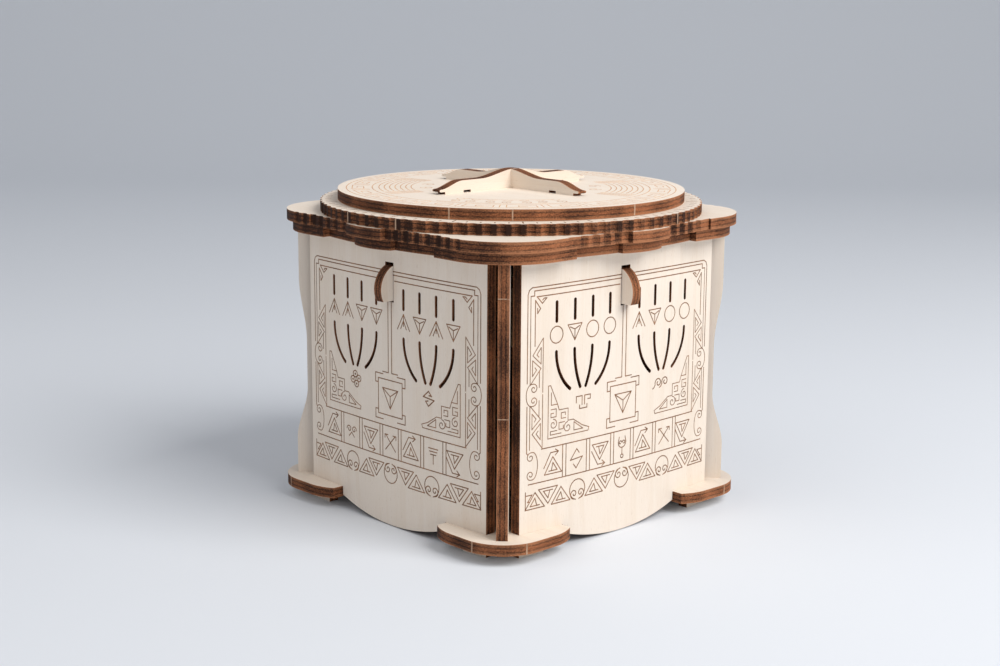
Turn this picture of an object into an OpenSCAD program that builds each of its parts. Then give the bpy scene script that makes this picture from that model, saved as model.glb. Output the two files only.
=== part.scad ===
// Laser-cut plywood combination puzzle box: a square case on corner feet, a lid with a turning
// dial and a serrated index ring, a pack of gated wheels under the lid, and four lid latches.
// Millimetres, +Z up, origin on the resting plane at the middle of the case.

/* [Stock] */
// Plywood thickness
ply = 4; // [3.8:0.1:4.1]
// Gap left around a tab in its slot
tab_gap = 0.05; // [0.02:0.01:0.1]
// Radial clearance of a turning fit
run_gap = 0.08; // [0.03:0.01:0.1]

/* [Case] */
// Distance from the axis to a panel's outer face at its side edges
panel_reach = 57.3; // [57:0.1:58]
// Width of a panel
panel_w = 98.4; // [97:0.1:99]
// How far the middle of a bent panel stands out beyond its side edges
panel_bow = 1.9; // [1.5:0.1:2.2]
// Visible height of a panel between the base plate and the rim frame
panel_h = 95.4; // [94:0.1:97]
// How far the tab feet reach below the base plate
foot_drop = 4.3; // [4:0.1:5]
// Width of the through slots in the panels
slot_w = 1.3; // [1:0.1:1.6]

/* [Lid] */
// Radius of the top dial
dial_r = 64.8; // [62:0.1:66]
// Outer radius of the index ring
ring_r = 71.3; // [69:0.1:72]
// Number of grip scallops round the index ring
ring_teeth = 90; // [60:1:96]
// Height of the handle's peak above the dial
handle_h = 7.1; // [6:0.1:9]
// Reach of a handle arm from the axis
handle_reach = 36.8; // [35:0.1:39]

/* [Wheel pack] */
// Radius of the combination wheels
wheel_r = 46; // [44:0.1:46]
// Radius of the spindle
spindle_r = 4; // [3.5:0.1:4]
// Depth of a wheel's gates
gate_depth = 5; // [4:0.1:6]
// Width of a wheel's gates
gate_w = 5; // [5:0.1:6]

/* [Hidden] */
$fn = 96;

// Turns about the axis that carry a front piece to the right, the back and the left
FRONT = 0;
RIGHT = 90;
BACK = 180;
LEFT = 270;

pale = "#e6d3b8";
warm = "#dcc3a2";
edge_brown = "#8a5a3c";
dowel_pale = "#ead9bd";

// Levels, counted up from the resting plane
base_z = foot_drop;
floor_z = base_z + ply;
rim_z = floor_z + panel_h;
lid_z = rim_z + ply;
lid_top = lid_z + ply;
ring_lift = 0.15;
ring_z = lid_top + ring_lift;
dial_z = ring_z + ply + ring_lift;
dial_top = dial_z + ply;

// Panels
half_w = panel_w / 2;
bow_r = (pow(half_w, 2) + pow(panel_bow, 2)) / (2 * panel_bow);
bow_axis = bow_r - panel_reach - panel_bow;
bow_fn = 720;
inner_face = panel_reach + panel_bow - ply;
foot_tab_in = 38.3;
skirt_w = 29.2;
skirt_r = 90;
skirt_lift = 0.3;
top_tab_in = 34;
top_tab_out = 44;
slot_group = 20.45;
slot_pitch = 8.55;
slot_low = 81.1;
slot_high = 89;
arc_high = 71.6;
arc_low = 56.4;
arc_lean_outer = 6.6;
arc_lean_inner = 2.95;

// Outline of the base plate's corner feet
foot_side = 65.7;
foot_corner_r = 16.7;
foot_flank_r = 19;
foot_tip = 29.7;
foot_flank_x = 40;
base_edge = 53.2;

// Outlines of the rim frame and the lid plate: corner lobes, mid lobes and the hollows between
rim_side = 65;
rim_corner_r = 23.5;
rim_lobe_tip = 30.8;
rim_hollow_peak = 65;
rim_hollow_r = 156;
rim_mid_reach = 69;
rim_mid_r = 24;
rim_mid_w = 10;
lid_side = 66.9;
lid_corner_r = 24.6;
lid_lobe_tip = 36.5;
lid_hollow_peak = 69;
lid_hollow_r = 224;
lid_mid_reach = 72.5;
lid_mid_r = 30;
lid_mid_w = 9.5;
scallop_r = 2.2;
scallop_out = 1.45;
scallop_pitch = 5;
lid_teeth_front = 7;
lid_teeth_side = 4;
lid_teeth_start = 14.5;
rim_open_r = 54.5;

// Corner posts, measured out along the diagonals
post_in = 60;
post_top_d = 80.3;
post_waist_d = 77.6;
post_foot_d = 81.8;
post_tab_in = 64;
post_tab_out = 74;
waist_low = 42;
waist_high = 61;
waist_foot = 22;
waist_top = 85;
curve_steps = 16;

// Wheel pack and its cage
wheel_gap = 1;
wheel_pitch = ply + wheel_gap;
cage_z = 66;
wheel_3_z = cage_z + ply + wheel_gap;
wheel_2_z = wheel_3_z + wheel_pitch;
wheel_1_z = wheel_2_z + wheel_pitch;
cam_z = wheel_1_z + wheel_pitch;
keeper_z = cam_z + wheel_pitch;
cage_r = 54;
cage_flat = 46;
cage_dowel_r = 2.5;
cage_dowel_at = 50;
cam_r = 22;
peg_r = 1.5;
peg_at = 15;
peg_step = 11.6;
peg_proud = 0.8;
washer_r = 9;
washer_t = 0.9;
hub_r = 30;

// Where a handle arm's tab starts and ends
blade_tab = [9, 20];

// Latches: r is the distance from the box's axis
pivot_r = 53.4;
pivot_z = 88.3;
pin_r = 1.5;
pin_len = 13;
latch_slot_w = 4.6;
latch_slot_low = 83.4;
latch_slot_high = 97.7;
moon_r = 9.15;
moon_at = 55.45;
moon_floor = 84;
moon_top = 96.4;
bracket_in = 50.8;
bracket_low = 84.6;
bracket_high = 92.4;
bracket_gap = 0.1;

function blend(t) = t * t * (3 - 2 * t);
function ramp(z, z0, z1, a, b) = a + (b - a) * blend(min(max((z - z0) / (z1 - z0), 0), 1));
function post_d(z) = z < (waist_low + waist_high) / 2
    ? ramp(z, waist_foot, waist_low, post_foot_d, post_waist_d)
    : ramp(z, waist_high, waist_top, post_waist_d, post_top_d);
function blade_top(r) = r < handle_reach / 2
    ? ramp(r, 0, 17, handle_h, 4.5)
    : ramp(r, 26, handle_reach, 4.5, 1.8);

// Four copies about the axis
module four() {
    for (a = [0, 90, 180, 270]) rotate(a) children();
}

// Copies mirrored about the YZ plane
module both_sides() {
    children();
    mirror([1, 0, 0]) children();
}

// Plan of a bent panel at the front, grown by a gap on each face
module panel_plan(gap = 0) {
    translate([0, bow_axis]) difference() {
        circle(r = bow_r + gap, $fn = bow_fn);
        circle(r = bow_r - ply - gap, $fn = bow_fn);
    }
}

// A wall of the panel plan between two heights, clipped to a range across the front
module panel_wall(x0, x1, z0, z1, gap = 0) {
    intersection() {
        translate([0, 0, z0]) linear_extrude(z1 - z0) panel_plan(gap);
        translate([x0, -panel_reach - 4, z0 - 1]) cube([x1 - x0, 10, z1 - z0 + 2]);
    }
}

// A straight slot with round ends, in the XZ plane of the front
module straight_slot() {
    translate([0, slot_high - slot_w / 2]) circle(d = slot_w, $fn = 24);
    translate([0, slot_low + slot_w / 2]) circle(d = slot_w, $fn = 24);
    translate([-slot_w / 2, slot_low + slot_w / 2]) square([slot_w, slot_high - slot_low - slot_w]);
}

// A slot that leaves its top end straight down and bends towards +X by lean
module arc_slot(lean) {
    drop = arc_high - arc_low - slot_w;
    turn = 2 * atan(lean / drop);
    r = drop / sin(turn);
    top = arc_high - slot_w / 2;
    translate([r, top]) {
        intersection() {
            difference() {
                circle(r = r + slot_w / 2, $fn = 180);
                circle(r = r - slot_w / 2, $fn = 180);
            }
            polygon([[0, 0], [-2 * r, 0], [-2 * r, -2 * r * tan(turn)]]);
        }
        for (a = [0, turn]) rotate(a) translate([-r, 0]) circle(d = slot_w, $fn = 24);
    }
}

module slot_group_2d() {
    for (i = [-1.5, -0.5, 0.5, 1.5]) translate([i * slot_pitch, 0]) {
        straight_slot();
        lean = abs(i) > 1 ? arc_lean_outer : arc_lean_inner;
        mirror([i > 0 ? 1 : 0, 0]) arc_slot(lean);
    }
}

// Front view of a panel
module panel_face() {
    difference() {
        union() {
            translate([-half_w, floor_z]) square([panel_w, panel_h]);
            intersection() {
                translate([-skirt_w, 0]) square([2 * skirt_w, floor_z + 1]);
                translate([0, skirt_lift + skirt_r]) circle(r = skirt_r, $fn = 360);
            }
            both_sides() {
                translate([foot_tab_in, 0]) square([half_w - foot_tab_in, floor_z + 1]);
                translate([top_tab_in, rim_z - 1]) square([top_tab_out - top_tab_in, ply + 1]);
            }
        }
        translate([-latch_slot_w / 2, latch_slot_low])
            square([latch_slot_w, latch_slot_high - latch_slot_low]);
        for (s = [-1, 1]) translate([s * slot_group, 0]) slot_group_2d();
    }
}

module panel(turn) {
    color(pale) rotate(turn) intersection() {
        linear_extrude(lid_z + 1) panel_plan();
        translate([0, -panel_reach + 6, 0]) rotate([90, 0, 0]) linear_extrude(12) panel_face();
    }
}

module front_panel() { panel(FRONT); }
module right_panel() { panel(RIGHT); }
module back_panel() { panel(BACK); }
module left_panel() { panel(LEFT); }

// Half of a corner foot, as far as the diagonal, in the front right quarter
module foot_half() {
    corner = foot_side - foot_corner_r;
    flank = foot_side - foot_flank_r;
    translate([corner, -corner]) circle(r = foot_corner_r);
    intersection() {
        translate([foot_flank_x, -flank]) circle(r = foot_flank_r);
        translate([foot_tip, -foot_side]) square([foot_side, foot_side]);
    }
    translate([foot_flank_x, -foot_side]) square([corner - foot_flank_x, foot_side - corner]);
    translate([foot_tip, -base_edge]) square([base_edge - foot_tip, base_edge - foot_tip]);
}

module base_plate() {
    color(warm) translate([0, 0, base_z]) difference() {
        linear_extrude(ply) {
            translate([-base_edge, -base_edge]) square(2 * base_edge);
            four() {
                foot_half();
                mirror([1, 1]) foot_half();
            }
        }
        four() {
            both_sides() translate([0, 0, -1 - base_z])
                panel_wall(foot_tab_in - tab_gap, half_w + tab_gap, base_z, floor_z + 2, tab_gap);
            post_slot(-1);
        }
    }
}

// Slot for the tabs of the front right post, starting at a height
module post_slot(z) {
    w = ply + 2 * tab_gap;
    rotate(-45) translate([post_tab_in - tab_gap, -w / 2, z])
        cube([post_tab_out - post_tab_in + 2 * tab_gap, w, ply + 2]);
}

// Side view of a post: x is the distance out along the diagonal
module post_side() {
    polygon(concat(
        [[post_in, floor_z], [post_foot_d, floor_z]],
        [for (i = [0:curve_steps]) let(z = waist_foot + (waist_low - waist_foot) * i / curve_steps)
            [post_d(z), z]],
        [for (i = [0:curve_steps]) let(z = waist_high + (waist_top - waist_high) * i / curve_steps)
            [post_d(z), z]],
        [[post_top_d, rim_z], [post_in, rim_z]]
    ));
    translate([post_tab_in, 0]) square([post_tab_out - post_tab_in, lid_z]);
}

// A post on the diagonal that lies at an angle from +X
module post(angle) {
    color(edge_brown) rotate(angle) translate([0, ply / 2, 0]) rotate([90, 0, 0])
        linear_extrude(ply) post_side();
}

module front_left_post() { post(225); }
module front_right_post() { post(315); }
module back_right_post() { post(45); }
module back_left_post() { post(135); }

function arc(c, r, a0, a1, n) = [for (i = [0:n]) let(a = a0 + (a1 - a0) * i / n)
    [c[0] + r * cos(a), c[1] + r * sin(a)]];
function turned(points, a) = [for (p = points)
    [p[0] * cos(a) - p[1] * sin(a), p[0] * sin(a) + p[1] * cos(a)]];
// Points that start on the Y axis, with their mirror image before them
function both_halves(points) = let(last = len(points) - 1) concat(
    [for (i = [0:last - 1]) [-points[last - i][0], points[last - i][1]]], points);

// Right half of the front side of a lobed plate, from the mid lobe out, then the corner lobe
function lobed_quarter(side, corner_r, lobe_tip, hollow_peak, hollow_r, mid_reach, mid_r, mid_w) =
    let(mid_a = asin(mid_w / mid_r), hollow_in = asin(mid_w / hollow_r), hollow_out = asin(lobe_tip / hollow_r))
    concat(
        arc([0, mid_r - mid_reach], mid_r, -90, -90 + mid_a, 8),
        arc([0, hollow_r - hollow_peak], hollow_r, -90 + hollow_in, -90 + hollow_out, 10),
        [[lobe_tip, -side]]
    );

// Plate outline made of a corner lobe, a mid lobe and a hollow on each side
module lobed_outline(side, corner_r, lobe_tip, hollow_peak, hollow_r, mid_reach, mid_r, mid_w) {
    corner = side - corner_r;
    half = lobed_quarter(side, corner_r, lobe_tip, hollow_peak, hollow_r, mid_reach, mid_r, mid_w);
    front = concat(both_halves(half), arc([corner, -corner], corner_r, -90, 0, 30));
    polygon([for (a = [0, 90, 180, 270]) each turned(front, a)]);
}

module rim_frame() {
    color(edge_brown) translate([0, 0, rim_z]) difference() {
        linear_extrude(ply) difference() {
            lobed_outline(rim_side, rim_corner_r, rim_lobe_tip, rim_hollow_peak, rim_hollow_r,
                rim_mid_reach, rim_mid_r, rim_mid_w);
            circle(r = rim_open_r, $fn = 180);
        }
        four() {
            both_sides() translate([0, 0, -rim_z])
                panel_wall(top_tab_in - tab_gap, top_tab_out + tab_gap, rim_z - 1, lid_z + 1, tab_gap);
            post_slot(-1);
        }
    }
}

// Grip scallops along one half of a side of the lid plate
module lid_scallops(count) {
    for (i = [0:count - 1]) {
        x = lid_teeth_start + i * scallop_pitch;
        y = lid_hollow_peak - lid_hollow_r + sqrt(pow(lid_hollow_r, 2) - pow(x, 2));
        translate([x, -max(y, x > lid_lobe_tip ? lid_side : 0) - scallop_out]) circle(r = scallop_r);
    }
}

module lid_plate() {
    color(warm) translate([0, 0, lid_z]) linear_extrude(ply) difference() {
        lobed_outline(lid_side, lid_corner_r, lid_lobe_tip, lid_hollow_peak, lid_hollow_r,
            lid_mid_reach, lid_mid_r, lid_mid_w);
        for (a = [FRONT, BACK]) rotate(a) both_sides() lid_scallops(lid_teeth_front);
        for (a = [RIGHT, LEFT]) rotate(a) both_sides() lid_scallops(lid_teeth_side);
        circle(r = spindle_r + run_gap);
        dowel_plan();
    }
}

// The four cage dowels, in plan
module dowel_plan() {
    four() rotate(45) translate([cage_dowel_at, 0]) circle(r = cage_dowel_r);
}

module ring_hub() {
    color(warm) translate([0, 0, lid_top]) linear_extrude(ply) difference() {
        circle(r = hub_r);
        circle(r = spindle_r + run_gap);
    }
}

// Round plate with four flats that clear the latches
module cage_disc(z) {
    translate([0, 0, z]) linear_extrude(ply) difference() {
        intersection() {
            circle(r = cage_r, $fn = 180);
            square(2 * cage_flat, center = true);
        }
        circle(r = spindle_r + run_gap);
        dowel_plan();
    }
}

module keeper_plate() { color(warm) cage_disc(keeper_z); }
module cage_plate() { color(warm) cage_disc(cage_z); }

module cage_dowels() {
    color(dowel_pale) translate([0, 0, cage_z]) linear_extrude(lid_top - cage_z) dowel_plan();
}

module wheel_washers() {
    slack = (wheel_gap - washer_t) / 2;
    color(dowel_pale) for (i = [0:4]) translate([0, 0, cage_z + ply + slack + i * wheel_pitch])
        linear_extrude(washer_t) difference() {
            circle(r = washer_r);
            circle(r = spindle_r + run_gap);
        }
}

// Side view of one handle arm with its tab, from the axis out, z counted from the dial's top
function arm_profile() = let(steps = 40, toe_in = 34.6, toe_z = 0.9, notch = [22.2, 25.7, 0.9]) concat(
    [for (i = [0:steps]) let(r = handle_reach * i / steps) [r, blade_top(r)]],
    [[handle_reach + 0.4, 1.6], [handle_reach + 0.4, 1.2], [handle_reach, toe_z], [toe_in, toe_z],
        [toe_in, 0], [notch[1], 0], [notch[1], notch[2]], [notch[0], notch[2]], [notch[0], 0],
        [blade_tab[1], 0], [blade_tab[1], -ply], [blade_tab[0], -ply], [blade_tab[0], 0]]
);

// A blade along X; lap is [from, to] of the height cut away where the blades cross
module blade(lap) {
    color(pale) translate([0, ply / 2, dial_top]) rotate([90, 0, 0]) linear_extrude(ply) difference() {
        polygon(both_halves(arm_profile()));
        translate([-ply / 2, lap[0]]) square([ply, lap[1] - lap[0]]);
    }
}

module handle_blade_x() { blade([handle_h / 2, handle_h + 1]); }
module handle_blade_y() { rotate(90) blade([-1, handle_h / 2]); }

module dial_disc() {
    color(pale) difference() {
        translate([0, 0, dial_z]) cylinder(r = dial_r, h = ply, $fn = 180);
        translate([0, 0, dial_z - 1]) cylinder(r = spindle_r, h = ply + 2);
        four() translate([blade_tab[0], -ply / 2, dial_z - 1])
            cube([blade_tab[1] - blade_tab[0], ply, ply + 2]);
    }
}

module spindle() {
    color(dowel_pale) translate([0, 0, cage_z]) cylinder(r = spindle_r, h = dial_top - cage_z);
}

module drive_cam() {
    color(warm) translate([0, 0, cam_z]) linear_extrude(ply) difference() {
        circle(r = cam_r);
        circle(r = spindle_r);
        translate([peg_at, 0]) circle(r = peg_r, $fn = 48);
    }
}

// A drive peg at its turn round the axis, between two heights
module peg(turn, z0, z1) {
    color(dowel_pale) rotate(turn) translate([peg_at, 0, z0]) cylinder(r = peg_r, h = z1 - z0, $fn = 48);
}

module cam_peg() { peg(0, cam_z - peg_proud, cam_z + ply); }
module wheel_1_peg() { peg(peg_step, wheel_1_z - peg_proud, wheel_1_z + ply + peg_proud); }
module wheel_2_peg() { peg(2 * peg_step, wheel_2_z - peg_proud, wheel_2_z + ply + peg_proud); }
module wheel_3_peg() { peg(3 * peg_step, wheel_3_z, wheel_3_z + ply + peg_proud); }

// A combination wheel with four gates; index places its peg hole
module wheel(index, z) {
    color(warm) translate([0, 0, z]) linear_extrude(ply) difference() {
        circle(r = wheel_r, $fn = 180);
        circle(r = spindle_r + run_gap);
        rotate(index * peg_step) translate([peg_at, 0]) circle(r = peg_r, $fn = 48);
        four() translate([wheel_r - gate_depth, -gate_w / 2]) square([gate_depth + 1, gate_w]);
    }
}

module wheel_1() { wheel(1, wheel_1_z); }
module wheel_2() { wheel(2, wheel_2_z); }
module wheel_3() { wheel(3, wheel_3_z); }

module index_ring() {
    color(warm) translate([0, 0, ring_z]) linear_extrude(ply) difference() {
        circle(r = ring_r, $fn = 360);
        circle(r = hub_r + run_gap);
        for (i = [0:ring_teeth - 1]) rotate((i + 0.5) * 360 / ring_teeth)
            translate([ring_r + scallop_out, 0]) circle(r = scallop_r, $fn = 48);
    }
}

// Side view of a latch: x is the distance from the box's axis
module latch_side() {
    low_a = asin((moon_floor - pivot_z) / moon_r);
    high_a = asin((moon_top - pivot_z) / moon_r);
    difference() {
        polygon(concat(
            [[50.4, 70.5], [pivot_r - 2.2, moon_floor]],
            arc([moon_at, pivot_z], moon_r, low_a, high_a, 36),
            [[54.6, moon_top], [54.6, 101], [46.6, 101], [46.6, 97], [50.2, 97], [50.2, pivot_z],
                [46.8, 85.5], [46.8, 70.5]]
        ));
        translate([pivot_r, pivot_z]) circle(r = pin_r + run_gap, $fn = 48);
    }
}

// Stands a side view up in a vertical plane through the axis at the front
module stand_up(thickness) {
    rotate(-90) translate([0, thickness / 2, 0]) rotate([90, 0, 0]) linear_extrude(thickness) children();
}

module latch(turn) { color(edge_brown) rotate(turn) stand_up(ply) latch_side(); }
module front_latch() { latch(FRONT); }
module right_latch() { latch(RIGHT); }
module back_latch() { latch(BACK); }
module left_latch() { latch(LEFT); }

// Two cheeks glued inside a panel, one each side of its latch
module latch_bracket(turn) {
    color(warm) rotate(turn) both_sides() translate([(latch_slot_w + ply) / 2, 0, 0])
        stand_up(ply) difference() {
            translate([bracket_in, bracket_low])
                square([inner_face - bracket_gap - bracket_in, bracket_high - bracket_low]);
            translate([pivot_r, pivot_z]) circle(r = pin_r, $fn = 48);
        }
}

module front_latch_bracket() { latch_bracket(FRONT); }
module right_latch_bracket() { latch_bracket(RIGHT); }
module back_latch_bracket() { latch_bracket(BACK); }
module left_latch_bracket() { latch_bracket(LEFT); }

module latch_pin(turn) {
    color(dowel_pale) rotate(turn) stand_up(pin_len)
        translate([pivot_r, pivot_z]) circle(r = pin_r, $fn = 48);
}

module front_latch_pin() { latch_pin(FRONT); }
module right_latch_pin() { latch_pin(RIGHT); }
module back_latch_pin() { latch_pin(BACK); }
module left_latch_pin() { latch_pin(LEFT); }

base_plate();
front_panel();
right_panel();
back_panel();
left_panel();
front_left_post();
front_right_post();
back_right_post();
back_left_post();
rim_frame();
front_latch_bracket();
right_latch_bracket();
back_latch_bracket();
left_latch_bracket();
front_latch_pin();
right_latch_pin();
back_latch_pin();
left_latch_pin();
front_latch();
right_latch();
back_latch();
left_latch();
lid_plate();
ring_hub();
keeper_plate();
cage_plate();
cage_dowels();
wheel_washers();
dial_disc();
handle_blade_x();
handle_blade_y();
spindle();
drive_cam();
cam_peg();
index_ring();
wheel_1();
wheel_1_peg();
wheel_2();
wheel_2_peg();
wheel_3();
wheel_3_peg();
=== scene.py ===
"""Plywood combination puzzle box: plywood finishes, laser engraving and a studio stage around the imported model."""

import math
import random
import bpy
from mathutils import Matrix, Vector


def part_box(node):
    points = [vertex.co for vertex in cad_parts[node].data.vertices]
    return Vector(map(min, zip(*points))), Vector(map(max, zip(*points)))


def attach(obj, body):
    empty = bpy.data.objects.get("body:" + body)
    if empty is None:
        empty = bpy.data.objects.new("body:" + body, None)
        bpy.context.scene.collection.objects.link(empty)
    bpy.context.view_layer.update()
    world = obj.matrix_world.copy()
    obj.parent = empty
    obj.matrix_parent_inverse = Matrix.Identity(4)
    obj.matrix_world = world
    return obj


bl_info = {
    "name": "Plywood Puzzle Box",
    "version": (1, 0, 0),
    "blender": (4, 5, 0),
    "location": "View3D > Sidebar > Puzzle Box",
    "description": "Finishes, engraves and stages a laser-cut plywood combination puzzle box",
    "category": "Object",
}

import bmesh
import bpy
from bpy.props import FloatProperty, FloatVectorProperty, IntProperty, PointerProperty
from bpy.types import Operator, Panel, PropertyGroup
from mathutils import Matrix, Vector

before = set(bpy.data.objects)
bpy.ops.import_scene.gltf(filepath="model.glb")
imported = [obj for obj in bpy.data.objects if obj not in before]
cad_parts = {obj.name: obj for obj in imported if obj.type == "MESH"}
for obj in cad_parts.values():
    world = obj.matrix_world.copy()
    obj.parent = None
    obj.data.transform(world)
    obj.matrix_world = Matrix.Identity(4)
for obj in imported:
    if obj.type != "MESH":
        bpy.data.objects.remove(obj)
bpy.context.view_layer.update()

MM = 0.001
PLY = 4.0
SIDES = {"front": 0, "right": 90, "back": 180, "left": 270}
POSTS = {"front_left": 225, "front_right": 315, "back_right": 45, "back_left": 135}

# Sizes below are millimetres in the object's own frame: u runs across a panel, z up from the floor
PANEL_REACH = 57.3
PANEL_BOW = 1.9
HALF_PANEL = 49.2
BOW_RADIUS = (HALF_PANEL**2 + PANEL_BOW**2) / (2 * PANEL_BOW)
PANEL_FACE = PANEL_REACH + PANEL_BOW

# Rounded lobes of the foot plate, the dial's edge, and the index ring's at its scallops
FOOT_CENTRE = 49.0
FOOT_RADIUS = 16.7
DIAL_RADIUS = 64.8
RING_RADIUS = 71.3

# Bridge marks across a post's outer edge: height, and the edge's distance from the axis there
POST_MARKS = ((92.0, 80.3), (50.0, 77.6))

# Grip scallops, whose dips get painted shade: round the index ring, and along the lid plate's sides from LID_FIRST
# to a run's end
RING_TEETH = 90
LID_FIRST = 14.5
LID_PITCH = 5.0
LID_RUN_FRONT = 47.0
LID_RUN_SIDE = 32.0


# ---------------------------------------------------------------- settings

class BoxFinish(PropertyGroup):
    """Colours and figure of the plywood."""

    face_pale: FloatVectorProperty(name="Face, pale", description="Early wood of the birch faces",
        subtype="COLOR", size=3, min=0, max=1, default=(0.84, 0.75, 0.655))
    face_warm: FloatVectorProperty(name="Face, warm", description="Late wood of the birch faces",
        subtype="COLOR", size=3, min=0, max=1, default=(0.73, 0.59, 0.455))
    char: FloatVectorProperty(name="Char", description="Darkest part of a laser-cut edge",
        subtype="COLOR", size=3, min=0, max=1, default=(0.026, 0.009, 0.004))
    caramel: FloatVectorProperty(name="Caramel", description="Lightest part of a laser-cut edge",
        subtype="COLOR", size=3, min=0, max=1, default=(0.385, 0.158, 0.072))
    engraving: FloatVectorProperty(name="Engraving", description="Laser-engraved lines",
        subtype="COLOR", size=3, min=0, max=1, default=(0.165, 0.080, 0.038))
    dowel: FloatVectorProperty(name="Dowel", description="Birch dowels",
        subtype="COLOR", size=3, min=0, max=1, default=(0.66, 0.50, 0.33))


class BoxEngraving(PropertyGroup):
    """Sizes of the engraved lines."""

    line: FloatProperty(name="Line width", description="Width of a main engraved line",
        unit="LENGTH", default=0.37 * MM, min=0.1 * MM, max=0.6 * MM, precision=5)
    fine: FloatProperty(name="Fine line width", description="Width of a fine engraved line",
        unit="LENGTH", default=0.31 * MM, min=0.1 * MM, max=0.6 * MM, precision=5)
    proud: FloatProperty(name="Line height", description="How far a line's dark film stands on the wood",
        unit="LENGTH", default=0.02 * MM, min=0.01 * MM, max=0.1 * MM, precision=5)
    ticks: IntProperty(name="Index ticks", description="Tick marks round the index ring",
        default=90, min=30, max=120)


class BoxStage(PropertyGroup):
    """Camera and light."""

    lens: FloatProperty(name="Lens", description="Focal length for a 36 mm wide sensor",
        subtype="DISTANCE_CAMERA", default=60.6, min=20, max=200)
    key_power: FloatProperty(name="Key light", description="Power of the large key light",
        unit="POWER", default=15.8, min=0, max=200)
    fill_power: FloatProperty(name="Fill light", description="Power of the overhead fill",
        unit="POWER", default=4.3, min=0, max=200)


# ---------------------------------------------------------------- shader groups

def new_group(name, inputs, outputs):
    """An empty shader node group with named sockets; returns it with its input and output nodes."""
    group = bpy.data.node_groups.new(name, "ShaderNodeTree")
    for title, kind, value in inputs:
        socket = group.interface.new_socket(title, in_out="INPUT", socket_type=kind)
        if value is not None:
            socket.default_value = value
    for title, kind in outputs:
        group.interface.new_socket(title, in_out="OUTPUT", socket_type=kind)
    start = group.nodes.new("NodeGroupInput")
    end = group.nodes.new("NodeGroupOutput")
    return group, start, end


class Net:
    """Short ways to add and join shader nodes in one tree."""

    def __init__(self, tree):
        self.tree = tree

    def node(self, kind, **values):
        node = self.tree.nodes.new(kind)
        for key, value in values.items():
            setattr(node, key, value)
        return node

    def join(self, source, target):
        self.tree.links.new(source, target)

    def feed(self, socket, value):
        if isinstance(value, bpy.types.NodeSocket):
            self.join(value, socket)
        else:
            socket.default_value = value

    def math(self, operation, a, b=0.0, c=0.0, clamp=False):
        node = self.node("ShaderNodeMath", operation=operation, use_clamp=clamp)
        for socket, value in zip(node.inputs, (a, b, c)):
            self.feed(socket, value)
        return node.outputs[0]

    def vector(self, operation, a, b):
        node = self.node("ShaderNodeVectorMath", operation=operation)
        self.feed(node.inputs[0], a)
        self.feed(node.inputs[1], b)
        return node.outputs["Value" if operation == "DOT_PRODUCT" else "Vector"]

    def split(self, vector):
        node = self.node("ShaderNodeSeparateXYZ")
        self.join(vector, node.inputs[0])
        return node.outputs

    def combine(self, x, y, z):
        node = self.node("ShaderNodeCombineXYZ")
        for socket, value in zip(node.inputs, (x, y, z)):
            self.feed(socket, value)
        return node.outputs[0]

    def mapping(self, vector, rotation=(0, 0, 0), location=(0, 0, 0)):
        node = self.node("ShaderNodeMapping", vector_type="POINT")
        self.join(vector, node.inputs["Vector"])
        node.inputs["Rotation"].default_value = rotation
        node.inputs["Location"].default_value = location
        return node.outputs[0]

    def mix(self, factor, a, b, blend="MIX"):
        """Mixes two colours."""
        node = self.node("ShaderNodeMix", data_type="RGBA", blend_type=blend)
        self.feed(node.inputs["Factor"], factor)
        self.feed(node.inputs[6], a)
        self.feed(node.inputs[7], b)
        return node.outputs[2]

    def between(self, factor, a, b):
        """Mixes two numbers."""
        node = self.node("ShaderNodeMix", data_type="FLOAT")
        self.feed(node.inputs[0], factor)
        self.feed(node.inputs[2], a)
        self.feed(node.inputs[3], b)
        return node.outputs[0]

    def noise(self, vector, scale, detail=3.0, rough=0.55):
        node = self.node("ShaderNodeTexNoise")
        self.join(vector, node.inputs["Vector"])
        self.feed(node.inputs["Scale"], scale)
        self.feed(node.inputs["Detail"], detail)
        self.feed(node.inputs["Roughness"], rough)
        return node.outputs["Fac"]

    def ramp(self, value, low, high, to_low=0.0, to_high=1.0):
        node = self.node("ShaderNodeMapRange", interpolation_type="SMOOTHSTEP")
        for socket, number in zip(node.inputs, (value, low, high, to_low, to_high)):
            self.feed(socket, number)
        return node.outputs[0]

    def group(self, group, **values):
        node = self.node("ShaderNodeGroup", node_tree=group)
        for title, value in values.items():
            self.feed(node.inputs[title], value)
        return node

    def bump(self, height, shader, strength, distance):
        node = self.node("ShaderNodeBump")
        self.feed(node.inputs["Strength"], strength)
        self.feed(node.inputs["Distance"], distance)
        self.join(height, node.inputs["Height"])
        self.join(node.outputs[0], shader.inputs["Normal"])


def rgba(colour, tone=1.0):
    return (*(c * tone for c in colour), 1.0)


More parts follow.
